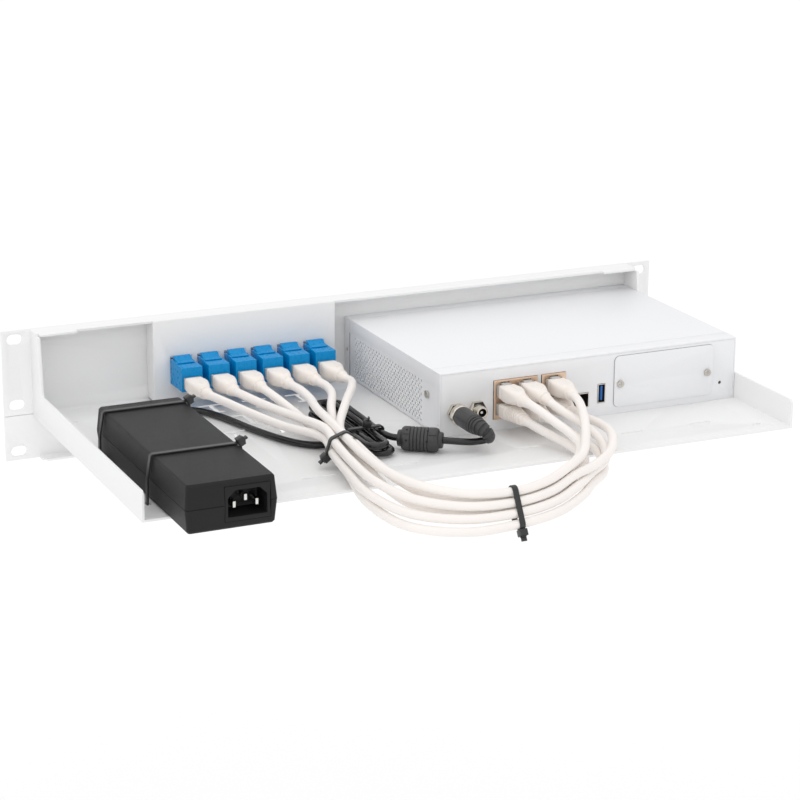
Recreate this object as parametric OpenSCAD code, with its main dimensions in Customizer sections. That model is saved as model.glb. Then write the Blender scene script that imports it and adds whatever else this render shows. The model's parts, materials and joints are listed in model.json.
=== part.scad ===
// Rack-mount kit with a firewall appliance, its power brick, patch cables and couplers.
// X runs across the rack, +Y to the rear (the port side), +Z up, in millimetres.
// The origin is the middle of the four ear slots, on the rear face of the front panel.

/* [Rack panel] */
// Overall width of the rack panel
panel_w = 482.6; // [480:0.1:483]
// Height of both panels together (two rack units less clearance)
panel_h = 88.1; // [87.5:0.1:88.5]
// Thickness of the panels
panel_t = 2; // [1.5:0.1:2.5]
// Height of the lower blank panel
blank_h = 30.3; // [29:0.1:30.4]
// Sideways distance between the ear slots
ear_pitch_x = 465.1; // [464:0.1:466]
// Height of an ear slot
slot_d = 7; // [6.6:0.1:7.4]
// Length of an ear slot
slot_l = 10.5; // [9.5:0.1:12]

/* [Tray] */
// Width of the tray over its walls
tray_w = 444; // [440:0.5:446]
// Depth of the tray
tray_d = 220.8; // [215:0.1:226]
// Thickness of the sheet
sheet_t = 1.5; // [1.2:0.1:1.5]
// Height of the tray's side walls above its underside
wall_h = 19; // [16:0.5:22]

/* [Appliance] */
// Width of the appliance
case_w = 219.6; // [217:0.1:219.7]
// Depth of the appliance
case_d = 152.2; // [150:0.1:153]
// Height of the appliance
case_h = 42.3; // [41.5:0.1:43]
// Thickness of the case's sheet metal
case_t = 1; // [0.8:0.1:1.2]

/* [Couplers] */
// Distance between couplers
coupler_pitch = 19.05; // [18.6:0.05:19.2]
// Width of a coupler's body
coupler_w = 14.5; // [14:0.1:14.8]
// Height of a coupler's body
coupler_h = 16.2; // [16:0.1:16.4]

/* [Power brick] */
// Width of the brick at its seam
brick_w = 56.5; // [54:0.5:57]
// Length of the brick at its seam
brick_l = 165; // [160:0.5:166]
// Height of the brick
brick_h = 29.5; // [28:0.5:31]

/* [Cords] */
// Diameter of a patch cable
cable_d = 5.6; // [5:0.1:5.8]
// Diameter of the low-voltage lead
lead_d = 4.4; // [4.2:0.1:5]

/* [Hidden] */
$fn = 48;
CABLES = 6;

// Colours
white = [0.93, 0.93, 0.94];
case_white = [0.95, 0.95, 0.96];
blue = [0.0, 0.45, 0.75];
black = [0.08, 0.08, 0.08];
cable_white = [0.93, 0.91, 0.88];
silver = [0.72, 0.71, 0.68];
copper_shield = [0.72, 0.62, 0.50];
board_green = [0.10, 0.32, 0.18];

// Rack heights, measured from the bottom edge of the blank panel
ear_z = [37.7, 82.15];
blank_ear_z = 5.95;
ear_mid_z = (ear_z[0] + ear_z[1]) / 2;
upper_z = 30.7;
floor_z = 29;
floor_top = floor_z + sheet_t;
wall_top = floor_z + wall_h;
flange_d = 13;
plate_y = flange_d;
plate_rear = plate_y + sheet_t;
eps = 0.01;

// Appliance: its left side, seen from the rear, is at x = case_x1
case_x1 = -0.5;
case_x0 = case_x1 - case_w;
case_y0 = 0.3;
case_y1 = case_y0 + case_d;
case_z0 = floor_top;
case_z1 = case_z0 + case_h;
bezel_d = 8.2;
board_z = case_z0 + 5.7;
board_t = 1.6;
board_top = board_z + board_t;
jack_x = [-46.6, -62.3, -82];
jack_row_z = [44.9, 57.1];
dc_x = [-11.7, -26.7];
dc_z = 46.5;
reset_pos = [-208.8, 42.4];
bay_x = [-202.4, -127.2];
bay_z = [35.4, 70];
bay_screw_x = [-197.9, -131.5];
bay_screw_z = 51.1;

// Couplers
coupler_z0 = 44.2;
coupler_z1 = coupler_z0 + coupler_h;
coupler_y0 = 3;
coupler_y1 = 36;
coupler_mid = 76.4;
function coupler_x(i) = coupler_mid + coupler_pitch * ((CABLES + 1) / 2 - i);
socket_z = 50;
latch_pivot_y = 26;
latch_pivot_z = 61;

// Brick
brick_x = 179.5;
brick_y = 173;
brick_z0 = floor_top;
brick_seam = brick_z0 + brick_h / 2;
brick_z1 = brick_z0 + brick_h;
brick_front = brick_y - brick_l / 2;
brick_rear = brick_y + brick_l / 2;
brick_draft = 1.25;
brick_wall = 2.2;
inlet_x = 169.8;
inlet_z = 45.6;
tie_ys = [105, 195];

// Where each patch cable ends on the appliance: [jack column, jack row]
jack_of = [[1, 1], [2, 0], [1, 0], [2, 1], [0, 0], [0, 1]];
plug_rear_y = 52;
plug_jack_y = 176;

// The loop of patch cables: stations [x, y, z, side spread, height spread]
loop = [
    [76, 156, 45, 1, 1], [79, 184, 43.2, 1.35, 1], [82, 214, 42, 1.6, 1],
    [81, 243, 38.5, 1.9, 1.2], [71, 270, 35, 1.8, 1.3], [47, 288, 33, 1.3, 1.15],
    [17, 292, 33, 1, 1], [-9, 286, 34, 1, 1], [-32, 272, 36, 1, 1]
];
// Each cable's place round the first tie, as an angle, and its place in the second
tie_1_angle = [-20, 40, -80, 100, 220, 160];
tie_1_r = 6.1;
tie_2_place = [[3.8, -2.8], [0.6, 2.8], [7, -8.4], [-2.6, 8.4], [-2.6, -2.8], [-5.8, 2.8]];
// Points from each coupler plug to the first tie
fan = [
    [[123, 63, 49.5], [117, 78, 48], [107, 99, 45], [95, 124, 42.5]],
    [[104.5, 63, 49.5], [101, 78, 49], [95, 98, 48], [87, 123, 47.5]],
    [[85.5, 63, 49.5], [83, 78, 47.5], [80, 98, 44.5], [77, 124, 41]],
    [[66, 63, 49.5], [64.5, 78, 49.5], [66, 98, 49.5], [71, 122, 50]],
    [[46.5, 63, 49.5], [45, 76, 49], [49, 94, 49], [60.5, 120, 47.5]],
    [[27.5, 63, 49.5], [27, 75, 50], [35, 93, 51], [51, 120, 50]]
];
// Points from the second tie to each jack plug
rise = [
    [[-53, 258, 33.5], [-68, 247, 35.5], [-76, 233, 37.5], [-79, 219, 41],
     [-75, 204, 46], [-67, 190, 52]],
    [[-52, 262, 39.5], [-68, 251, 41.5], [-79, 237, 43.5], [-86, 221, 44.5],
     [-88, 204, 44.5], [-85, 189, 44.5]],
    [[-51, 262, 28], [-65, 250, 28.5], [-73, 237, 30.5], [-75, 223, 34.5],
     [-73, 208, 37], [-67, 191, 41.5]],
    [[-48, 255, 45.5], [-58, 240, 49.5], [-66, 225, 52.5], [-73, 209, 55], [-79, 192, 57]],
    [[-46, 252, 33], [-57, 241, 33.5], [-63, 228, 34.5], [-62, 213, 35.8],
     [-57, 199, 38.5], [-51, 188, 42]],
    [[-44, 252, 39.5], [-53, 242, 40.5], [-60, 229, 42.5], [-60, 215, 45.5],
     [-56, 202, 49.5], [-50, 188, 55]]
];
ferrite_a = [33.5, 163, 38.5];
ferrite_b = [9.8, 179.2, 38.5];
// The low-voltage lead, from the brick to the hank and from the hank to its plug
lead_1 = [
    [179.5, 76, 44], [179, 64, 43], [174, 51, 40], [163, 41, 36], [149, 36, 33.5],
    [134, 37, 33], [122, 46, 33], [115, 60, 33], [110, 76, 33], [106, 91, 33],
    [101.5, 105, 33], [96.5, 118, 33], [90.5, 130, 33], [83, 138.5, 33], [73.5, 142, 33],
    [65.5, 139.5, 34], [61, 133, 35]
];
lead_2 = [
    [41, 143, 38.5], [40.8, 149, 38.5], [39.6, 155, 38.5], [37, 159.8, 38.5], ferrite_a,
    [25.5, 168.4, 38.5], [17.6, 173.8, 38.5], ferrite_b, [4, 182.4, 38.2], [-2, 184.3, 37.5],
    [-8, 185.3, 37], [-12.8, 186.2, 37.2], [-16, 188, 38.2], [-17, 190, 39.8]
];
// The plug's bend relief: [point, heading, radius]
relief = [
    [[0, 183.8, 0], [0, 1, 0], 6.1], [[-0.5, 188, -0.2], [-0.3, 1, -0.2], 5.4],
    [[-2.3, 190.8, -1.9], [-0.6, 0.5, -0.7], 4.8], [[-4.5, 191.2, -4.4], [-0.5, -0.2, -1], 4.1],
    [[-5.3, 190, -6.7], [-0.2, -0.6, -1], 3.4]
];
hank_x = 50;
hank_y = [90, 169];
hank_r = [13.5, 11];
hank_z = [floor_top + 1.2, floor_top + 11.7];
hank_tie_y = 148;
ferrite_l = norm(ferrite_b - ferrite_a);
ferrite_r = 7.8;

// ---- Helpers ----

// Everything is laid out from the blank panel's bottom edge and moved to the origin once
module rack() translate([0, 0, -ear_mid_z]) children();

module block(x, y, z) translate([x[0], y[0], z[0]]) cube([x[1] - x[0], y[1] - y[0], z[1] - z[0]]);

// A round bar or hole along +Y
module rod_y(x, z, y0, y1, r) translate([x, y0, z]) rotate([-90, 0, 0]) cylinder(h = y1 - y0, r = r);

// A flat outline in X and Z, extruded along +Y
module plate_xz(y0, y1) translate([0, y1, 0]) rotate([90, 0, 0]) linear_extrude(y1 - y0) children();

// A flat outline in Y and Z, extruded along +X
module plate_yz(x0, x1)
    translate([x0, 0, 0]) rotate([90, 0, 90]) linear_extrude(x1 - x0) children();

// A thin round disc at p, square to heading d
module disc(p, d, r) translate(p) rotate([0, acos(d[2] / norm(d)), atan2(d[1], d[0])])
    cylinder(h = 0.02, r = r, center = true, $fn = 24);

module round_rect(x, z, r) {
    translate([x[0] + r, z[0]]) square([x[1] - x[0] - 2 * r, z[1] - z[0]]);
    translate([x[0], z[0] + r]) square([x[1] - x[0], z[1] - z[0] - 2 * r]);
    for (a = [x[0] + r, x[1] - r], b = [z[0] + r, z[1] - r]) translate([a, b]) circle(r);
}

module ear_slots(zs) {
    half = (slot_l - slot_d) / 2;
    for (side = [-1, 1], z = zs) {
        x = side * ear_pitch_x / 2;
        for (end = [-half, half]) rod_y(x + end, z, -panel_t - 1, 1, slot_d / 2);
        block([x - half, x + half], [-panel_t - 1, 1], [z - slot_d / 2, z + slot_d / 2]);
    }
}

// A pan-head screw along +Y, its head outwards at y1
module screw_y(x, z, y0, y1, head_r, shaft_r) {
    rod_y(x, z, y0, y1 - 1.2, shaft_r);
    difference() {
        rod_y(x, z, y1 - 1.2 - eps, y1, head_r);
        for (turn = [0, 90]) translate([x, y1, z]) rotate([0, turn, 0])
            cube([head_r * 1.2, 1, 0.5], center = true);
    }
}

// Smooth curve through a route's points
function between(p, i, t) =
    let (
        n = len(p),
        a = i > 0 ? p[i - 1] : 2 * p[0] - p[1],
        b = p[i],
        c = p[i + 1],
        d = i + 2 < n ? p[i + 2] : 2 * p[n - 1] - p[n - 2]
    )
    (2 * b + (c - a) * t + (2 * a - 5 * b + 4 * c - d) * t * t
        + (3 * b - a - 3 * c + d) * t * t * t) / 2;
function smooth_route(p, steps) = [
    for (i = [0 : len(p) - 2], k = [0 : steps - 1]) between(p, i, k / steps),
    p[len(p) - 1]
];
function unit(v) = v / norm(v);

// A cord: one closed tube swept along the points, its ends square to it
module cord(points, d, sides = 8) {
    n = len(points);
    rings = [
        for (i = [0 : n - 1])
            let (
                t = unit(points[min(i + 1, n - 1)] - points[max(i - 1, 0)]),
                side = unit(cross(t, [0, 0, 1])),
                up = cross(side, t)
            )
            for (k = [0 : sides - 1])
                points[i] + d / 2 * (cos(360 * k / sides) * side + sin(360 * k / sides) * up)
    ];
    walls = [
        for (i = [0 : n - 2], k = [0 : sides - 1])
            let (a = i * sides + k, b = i * sides + (k + 1) % sides)
            each [[a, a + sides, b + sides], [a, b + sides, b]]
    ];
    caps = [
        [for (k = [0 : sides - 1]) k],
        [for (k = [sides - 1 : -1 : 0]) (n - 1) * sides + k]
    ];
    polyhedron(points = rings, faces = concat(walls, caps));
}

// Heading of the loop at station k, and a cable's place there
function heading(k) =
    let (a = loop[max(k - 1, 0)], b = loop[min(k + 1, len(loop) - 1)])
    unit([b[0] - a[0], b[1] - a[1]]);
function in_loop(i, k) =
    let (
        s = loop[k],
        h = heading(k),
        w = min(1, k / 5),
        first = tie_1_r * [cos(tie_1_angle[i]), sin(tie_1_angle[i])],
        place = first * (1 - w) + tie_2_place[i] * w
    )
    [s[0] + h[1] * place[0] * s[3], s[1] - h[0] * place[0] * s[3], s[2] + place[1] * s[4]];
function jack_end(i) = [jack_x[jack_of[i][0]], plug_jack_y, jack_row_z[jack_of[i][1]]];
function cable_route(i) = concat(
    [[coupler_x(i + 1), plug_rear_y, socket_z]], fan[i],
    [for (k = [0 : len(loop) - 1]) in_loop(i, k)], rise[i], [jack_end(i)]
);

// ---- Rack kit ----

module front_panel() color(white) rack() {
    flange_half = tray_w / 2;
    tab_l = 25;
    tab_d = 16.5;
    difference() {
        union() {
            block([-panel_w / 2, panel_w / 2], [-panel_t, 0], [upper_z, panel_h]);
            block([-flange_half, flange_half], [-eps, flange_d], [panel_h - sheet_t, panel_h]);
            for (side = [-1, 1]) {
                x = side * (flange_half - tab_l / 2 - 2);
                block([x - tab_l / 2, x + tab_l / 2], [-eps, tab_d], [panel_h - sheet_t, panel_h]);
            }
        }
        ear_slots(ear_z);
        // Window for the appliance's front, and the one that shows the couplers
        plate_xz(-panel_t - 1, 1) round_rect([case_x0 + 7, case_x1 - 7], [36.5, 67], 2);
        plate_xz(-panel_t - 1, 1) round_rect([17, 136], [40, 66], 2);
    }
}

module blank_panel() color(white) rack() {
    lip_half = 219;
    lip_d = 10;
    difference() {
        union() {
            block([-panel_w / 2, panel_w / 2], [-panel_t, 0], [0, blank_h]);
            difference() {
                block([-lip_half, lip_half], [-eps, lip_d], [0, sheet_t]);
                for (side = [-1, 1]) translate([side * lip_half, lip_d, -1])
                    cube([5, 5, 8], center = true);
            }
        }
        ear_slots([blank_ear_z]);
    }
}

module tie_anchor(x, y, long) {
    bar = 2.6;
    block([x - 8.5, x + 8.5], [y, y + bar], [floor_z - 1, floor_top + 1]);
    block([x - 1.6, x + 1.6], [y, y + long], [floor_z - 1, floor_top + 1]);
    block([x - 5, x + 5], [y + long - bar, y + long], [floor_z - 1, floor_top + 1]);
}

module floor_slot(x, y, l, w)
    block([x - l / 2, x + l / 2], [y - w / 2, y + w / 2], [floor_z - 1, floor_top + 1]);

module tray() color(white) rack() {
    half = tray_w / 2;
    gusset_top = panel_h - sheet_t;
    difference() {
        union() {
            block([-half, half], [0, tray_d], [floor_z, floor_top]);
            for (x = [-half, half - sheet_t]) plate_yz(x, x + sheet_t) {
                polygon([
                    [0, floor_z], [tray_d, floor_z], [tray_d, wall_top - 2], [tray_d - 2, wall_top],
                    [23, wall_top], [21.8, wall_top + 1.6], [18.4, gusset_top], [0, gusset_top]
                ]);
            }
            // Weld fillet where the floor meets the panels
            difference() {
                block([case_x1 + 1, half - sheet_t], [0, 2], [floor_top, floor_top + 2]);
                translate([case_x1, 2, floor_top + 2]) rotate([0, 90, 0]) cylinder(h = half, r = 2);
            }
        }
        for (x = [47.5, 78.5, 109.5]) tie_anchor(x, 28, 18);
        for (x = [66, 96.5]) tie_anchor(x, 56, 22);
        for (x = [54, 85, 116]) tie_anchor(x, 86, 16);
        // Long slots for ties along the rear edge, and the brick's own slots
        for (x = [99.3, 44.1, -44.1, -119.4, -170]) floor_slot(x, 191, x > 0 ? 22 : 16, 2);
        for (y = tie_ys, x = [brick_x - brick_w / 2 - 2.2, brick_x + brick_w / 2 + 2.2])
            floor_slot(x, y, 3, 6);
        for (x = [203, -203], y = [28, 208]) floor_slot(x, y, 6, 2);
        for (x = [case_x0 + 20, case_x1 - 20], y = [30, 125])
            translate([x, y, floor_z - 1]) cylinder(h = 5, r = 1.7);
    }
}

module coupler_plate() color(white) rack() {
    x0 = coupler_mid - 63.4;
    x1 = coupler_mid + 66.6;
    z0 = floor_top + 1;
    foot_gap = 1.2;
    difference() {
        union() {
            block([x0, x1], [plate_y, plate_rear], [z0, panel_h]);
            for (x = [x0, x1 - sheet_t])
                block([x, x + sheet_t], [0, plate_y + eps], [z0 + foot_gap, panel_h - sheet_t]);
        }
        for (i = [1 : CABLES]) block(
            [coupler_x(i) - coupler_w / 2 - 0.2, coupler_x(i) + coupler_w / 2 + 0.2],
            [plate_y - 1, plate_rear + 1], [coupler_z0 - 0.2, coupler_z1 + 2.2]);
    }
}

module tray_screws() color(silver) rack()
    for (x = [case_x0 + 20, case_x1 - 20], y = [30, 125]) translate([x, y, floor_z - 1.4]) {
        cylinder(h = 1.4, r = 3);
        cylinder(h = 6.4, r = 1.45);
    }

// ---- Couplers ----

module coupler(i) color(blue) rack() translate([coupler_x(i), 0, 0]) {
    half = coupler_w / 2;
    latch_half = 5.5;
    difference() {
        union() {
            block([-half, half], [coupler_y0, coupler_y1], [coupler_z0, coupler_z1]);
            // Fixed hook in front of the plate
            block([-half, half], [plate_y - 1.8, plate_y - 0.1], [coupler_z0 - 1.6, coupler_z0 + eps]);
            // Cheeks beside the latch arm
            block([half - 1.3, half], [plate_rear + 0.3, latch_pivot_y],
                [coupler_z1 - eps, coupler_z1 + 0.8]);
        }
        // Room under the latch arm
        block([-latch_half - 0.6, latch_half + 0.6], [plate_rear - 4, latch_pivot_y - 1],
            [coupler_z1 - 2, coupler_z1 + 1]);
        // Sockets for a plug at the front and at the rear, each with its latch slot
        for (y = [[coupler_y0 - 1, 15.5], [23.5, coupler_y1 + 1]]) {
            block([-5.95, 5.95], y, [socket_z - 3.95, socket_z + 3.95]);
            block([-3.1, 3.1], y, [socket_z - 5.3, socket_z - 3.9]);
        }
    }
    // Contact block between the sockets
    color(silver) for (k = [0 : 7]) translate([-4.1 + k * 1.17, 21.6, socket_z - 2])
        cube([0.5, 2.2, 3.4]);
}

module coupler_latch(i) color(blue) rack() translate([coupler_x(i), 0, 0]) {
    half = 5.5;
    tip_y = plate_rear + 0.4;
    plate_yz(-half, half) difference() {
        union() {
            polygon([
                [latch_pivot_y - 0.2, coupler_z1 + 0.3], [latch_pivot_y - 0.2, coupler_z1 + 0.9],
                [latch_pivot_y - 3, coupler_z1 + 1.6], [tip_y + 5, coupler_z1 + 3],
                [tip_y + 1, coupler_z1 + 3.2], [tip_y, coupler_z1 + 2.6], [tip_y, coupler_z1 + 0.3]
            ]);
            translate([tip_y + 3.4, coupler_z1 + 1.6]) circle(1.8);
        }
        // The arm is hollow underneath
        translate([tip_y + 1.2, coupler_z1 - 1]) square([6, 2.2]);
    }
    translate([-half, latch_pivot_y - 0.2, coupler_z1 + 0.55]) rotate([0, 90, 0])
        cylinder(h = 2 * half, r = 0.5);
}

// ---- Patch cables ----

// An eight-way plug: body from y = 0 to 11.5, then its boot, along +Y
module plug(body_y, boot_y, end_y, latch) {
    block([-5.8, 5.8], [body_y, boot_y], [-3.8, 3.8]);
    block([-2.9, 2.9], [body_y + 1, boot_y], latch > 0 ? [3.7, 4.9] : [-4.9, -3.7]);
    block([-6.2, 6.2], [boot_y - eps, end_y - 8], [-4.6, 4.6]);
    translate([0, end_y - 8 - eps, 0]) rotate([-90, 0, 0]) cylinder(h = 8, r1 = 4.5, r2 = 3.6);
}

module patch_plugs(i) color(cable_white) rack() {
    e = jack_end(i - 1);
    translate([coupler_x(i), 0, socket_z]) plug(24.4, coupler_y1 + 0.3, plug_rear_y, -1);
    translate([e[0], 0, e[2]]) plug(142, case_y1 + 1.4, plug_jack_y, jack_of[i - 1][1] > 0 ? 1 : -1);
}

module patch_cable(i) color(cable_white) rack() cord(smooth_route(cable_route(i - 1), 2), cable_d);

module tie_head() block([-2.8, 2.8], [-2.4, 2.4], [-2.2, 2.6]);

// A tie round a bundle: a flat band bent into a loop, long axis up at tilt
module tie_loop(r, half, tilt) rotate([90, 0, 0]) translate([0, 0, -1.8])
    linear_extrude(3.6) rotate(tilt) difference() {
        stadium(r, half);
        stadium(r - 1.1, half);
    }

module bundle_tie_1() color(black) rack() translate([80.5, 180, 43]) rotate([0, 0, -5]) {
    tie_loop(11.9, 2.2, 90);
    translate([9.6, 0, -8.6]) rotate([0, 135, 0]) tie_head();
}

module bundle_tie_2() color(black) rack() translate([17, 291.8, 33]) rotate([0, 0, 90]) {
    tie_loop(10.2, 6.4, 31);
    rotate([0, 149, 0]) translate([0, 0, 18]) tie_head();
}

module stadium(r, half) {
    for (s = [-1, 1]) translate([0, s * half]) circle(r);
    square([2 * r, 2 * half], center = true);
}

// ---- Power brick ----

// Rounded slab of the brick, smaller by inset on every side
module brick_slab(z, inset, r) translate([brick_x, brick_y, z]) linear_extrude(0.02) union() {
    w = brick_w - 2 * inset;
    l = brick_l - 2 * inset;
    square([w - 2 * r, l], center = true);
    square([w, l - 2 * r], center = true);
    for (sx = [-1, 1], sy = [-1, 1]) translate([sx * (w / 2 - r), sy * (l / 2 - r)]) circle(r, $fn = 24);
}

module half_shell(seam, outer) {
    step = outer > seam ? 1 : -1;
    difference() {
        hull() {
            brick_slab(outer - (step > 0 ? 0.02 : 0), brick_draft + 1, 1.6);
            brick_slab(outer - step * 1.2, brick_draft, 2.2);
            brick_slab(seam - (step > 0 ? 0 : 0.02), 0, 2.4);
        }
        hull() {
            brick_slab(outer - step * brick_wall, brick_draft + brick_wall, 1);
            brick_slab(seam - step * 0.1, brick_wall, 1);
        }
        block([inlet_x - 14.2, inlet_x + 14.2], [brick_rear - 8, brick_rear + 5],
            [inlet_z - 10.8, inlet_z + 10.8]);
        rod_y(brick_x, 44, brick_front - 5, brick_front + 8, 4.1);
    }
}

module brick_top_shell() color(black) rack() half_shell(brick_seam + 0.15, brick_z1);
module brick_bottom_shell() color(black) rack() half_shell(brick_seam - 0.15, brick_z0);

module mains_inlet() color(black) rack() {
    c = 12;
    difference() {
        block([inlet_x - 14, inlet_x + 14], [brick_rear - 24, brick_rear - 0.6],
            [inlet_z - 10.6, inlet_z + 10.6]);
        plate_xz(brick_rear - 17, brick_rear + 1) polygon([
            for (p = [[-c, -8], [c, -8], [c, 3.6], [c - 4.6, 8], [-c + 4.6, 8], [-c, 3.6]])
                [inlet_x + p[0], inlet_z + p[1]]
        ]);
    }
    for (p = [[-7, -1.8], [0, 1.8], [7, -1.8]])
        block([inlet_x + p[0] - 1, inlet_x + p[0] + 1], [brick_rear - 17 - eps, brick_rear - 4],
            [inlet_z + p[1] - 2, inlet_z + p[1] + 2]);
}

module brick_board() color(board_green) rack() {
    z = brick_z0 + 5.2;
    block([brick_x - 24, brick_x + 24], [brick_front + 6, brick_rear - 26], [z, z + 1.6]);
    // Transformer, capacitors and heat-sink bar
    block([brick_x - 12, brick_x + 12], [brick_y - 30, brick_y - 4], [z + 1.6 - eps, z + 18]);
    for (y = [brick_y + 12, brick_y + 30]) translate([brick_x - 8, y, z + 1.6 - eps])
        cylinder(h = 15, r = 7.5);
    block([brick_x + 16, brick_x + 19], [brick_y - 40, brick_y + 40], [z + 1.6 - eps, z + 17]);
    for (x = [brick_x - 20, brick_x + 20], y = [brick_front + 12, brick_rear - 34])
        translate([x, y, brick_z0 + brick_wall]) cylinder(h = z - brick_z0 - brick_wall + eps, r = 2);
}

module brick_grommet() color(black) rack() {
    rod_y(brick_x, 44, brick_front - 0.3, brick_front + 6, 3.9);
    translate([brick_x, brick_front - 14.5, 44]) rotate([-90, 0, 0]) cylinder(h = 14.2, r1 = 3, r2 = 5);
}

module brick_ties() color(black) rack() for (y = tie_ys) {
    w = brick_w / 2 + 0.5;
    band = 1.2;
    plate_xz(y - 1.9, y + 1.9) difference() {
        polygon([
            [brick_x - w - 2.6, floor_z - 1.6], [brick_x + w + 2.6, floor_z - 1.6],
            [brick_x + w + 2.6, brick_seam], [brick_x + w, brick_z1 + 1.6],
            [brick_x - w, brick_z1 + 1.6], [brick_x - w - 2.6, brick_seam]
        ]);
        polygon([
            [brick_x - w - 2.6 + band, floor_z - 0.4], [brick_x + w + 2.6 - band, floor_z - 0.4],
            [brick_x + w + 2.6 - band, brick_seam], [brick_x + w - band, brick_z1 + 0.4],
            [brick_x - w + band, brick_z1 + 0.4], [brick_x - w - 2.6 + band, brick_seam]
        ]);
    }
    translate([brick_x - w - 0.6, y, brick_z1 + 3.4]) rotate([0, -20, 0]) tie_head();
}

// ---- Low-voltage lead ----

module dc_lead_run_1() color(black) rack() cord(smooth_route(lead_1, 1), lead_d);
module dc_lead_run_2() color(black) rack() cord(smooth_route(lead_2, 1), lead_d);

// A hank of folded lead: two round ends and the straight runs between
module dc_lead_hank() color(black) rack()
    translate([0, 0, hank_z[0]]) linear_extrude(hank_z[1] - hank_z[0]) {
        taper = asin((hank_r[0] - hank_r[1]) / (hank_y[1] - hank_y[0]));
        for (e = [0, 1]) translate([hank_x, hank_y[e]]) circle(hank_r[e]);
        polygon([
            for (e = [0, 1], side = e > 0 ? [1, -1] : [-1, 1]) [
                hank_x + side * hank_r[e] * cos(taper), hank_y[e] + hank_r[e] * sin(taper)
            ]
        ]);
    }

module hank_tie() color(black) rack() {
    half = 12.2;
    band = 1.2;
    difference() {
        block([hank_x - half - band, hank_x + half + band], [hank_tie_y - 1.8, hank_tie_y + 1.8],
            [hank_z[0] - band, hank_z[1] + band + 0.1]);
        block([hank_x - half, hank_x + half], [hank_tie_y - 3, hank_tie_y + 3],
            [hank_z[0], hank_z[1] + 0.1]);
    }
    translate([hank_x - 2, hank_tie_y, hank_z[1] + 3.4]) tie_head();
}

module along_ferrite() {
    d = ferrite_b - ferrite_a;
    translate(ferrite_a) rotate([0, 0, atan2(d[1], d[0])]) rotate([0, 90, 0]) children();
}

module ferrite_shell() color(black) rack() along_ferrite() rotate_extrude() difference() {
    union() {
        translate([0, 0]) square([ferrite_r - 1.2, ferrite_l]);
        translate([0, 1.4]) square([ferrite_r, ferrite_l - 2.8]);
    }
    translate([-1, -1]) square([lead_d / 2 + 1.2, ferrite_l + 2]);
    for (k = [-2 : 2]) translate([ferrite_r, ferrite_l / 2 + k * 2.6]) circle(0.5, $fn = 16);
}

module dc_plug() color(black) rack() translate([dc_x[0], 0, dc_z]) {
    // Barrel, locking ring, grip and the start of the bend relief
    difference() {
        rod_y(0, 0, 154.4, 176, 2.6);
        rod_y(0, 0, 154, 172, 1.2);
    }
    rod_y(0, 0, 162.6, relief[0][0][1], 6.4);
    for (k = [1 : len(relief) - 1]) hull() for (e = [k - 1, k])
        disc(relief[e][0], relief[e][1], relief[e][2]);
}

// ---- Appliance ----

// Perforated field: rows of holes, every second row half a pitch along
module vent_holes() {
    pitch = 4.44;
    row = 2.2;
    for (r = [0 : 12], c = [0 : (r % 2 == 0 ? 24 : 23)])
        translate([17.4 + pitch * (c + (r % 2) / 2), case_z0 + 3.9 + row * r]) circle(0.9, $fn = 16);
}

module side_vents() color(case_white) rack() for (x = [case_x1 - 0.3 - case_t, case_x0 + 0.3])
    plate_yz(x, x + case_t) difference() {
        union() {
            translate([8.8, case_z0 + 1.2]) square([134.9, 26.3]);
            translate([8.8, case_z0 + 1.2]) square([130.9, 31.3]);
            translate([139.7, case_z0 + 27.5]) circle(5);
        }
        vent_holes();
        translate([133.8, case_z0 + 24]) circle(1.7);
    }

module top_cover() color(case_white) rack() {
    difference() {
        union() {
            block([case_x0, case_x1], [case_y0 + bezel_d, case_y1], [case_z1 - case_t, case_z1]);
            for (x = [case_x0, case_x1 - case_t]) plate_yz(x, x + case_t) difference() {
                translate([case_y0 + bezel_d, case_z0])
                    square([case_d - bezel_d, case_h]);
                translate([case_y0 + bezel_d - 1, case_z0 - 1]) square([136.4, 28.5]);
                translate([case_y0 + bezel_d - 1, case_z0 - 1]) square([131.2, 33.7]);
                translate([139.7, case_z0 + 27.5]) circle(5.2);
            }
        }
        for (x = [case_x0 - 1, case_x1 - 3]) translate([x, 150.2, case_z0 + 8]) rotate([0, 90, 0])
            cylinder(h = 4, r = 0.8);
    }
}

module chassis_base() color(case_white) rack() {
    x0 = case_x0 + case_t + 0.1;
    x1 = case_x1 - case_t - 0.1;
    difference() {
        union() {
            block([x0, x1], [case_y0 + bezel_d, case_y1], [case_z0, case_z0 + case_t]);
            block([x0, x1], [case_y1 - case_t, case_y1], [case_z0, case_z1 - case_t - 0.1]);
            for (x = [[x0 + 1.4, x0 + 2.4], [x1 - 2.4, x1 - 1.4]])
                block(x, [case_y0 + bezel_d, case_y1], [case_z0, case_z0 + 3]);
            for (x = [x0 + 12, (x0 + x1) / 2, x1 - 12], y = [22, 134])
                translate([x, y, case_z0]) cylinder(h = board_z - case_z0, r = 2.6);
            for (x = [case_x0 + 20, case_x1 - 20], y = [30, 125])
                translate([x, y, case_z0]) cylinder(h = 4, r = 3);
        }
        y = [case_y1 - 3, case_y1 + 1];
        block([-70.4, -38.5], y, [37.6, 64.3]);
        block([-91, -73.1], y, [37.6, 64.3]);
        block([-108.8, -93.9], y, [37.7, 48.1]);
        block([-121, -115], y, [39.3, 52.7]);
        block([bay_x[0] + 3, bay_x[1] - 3], y, [39.5, 66.5]);
        for (x = bay_screw_x) rod_y(x, bay_screw_z, y[0], y[1], 1.3);
        for (x = dc_x) rod_y(x, dc_z, y[0], y[1], 4.1);
        rod_y(reset_pos[0], reset_pos[1], y[0], y[1], 1.15);
        for (x = [case_x0 + 20, case_x1 - 20], y = [30, 125])
            translate([x, y, case_z0 - 1]) cylinder(h = 8, r = 1.5);
    }
}

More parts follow.
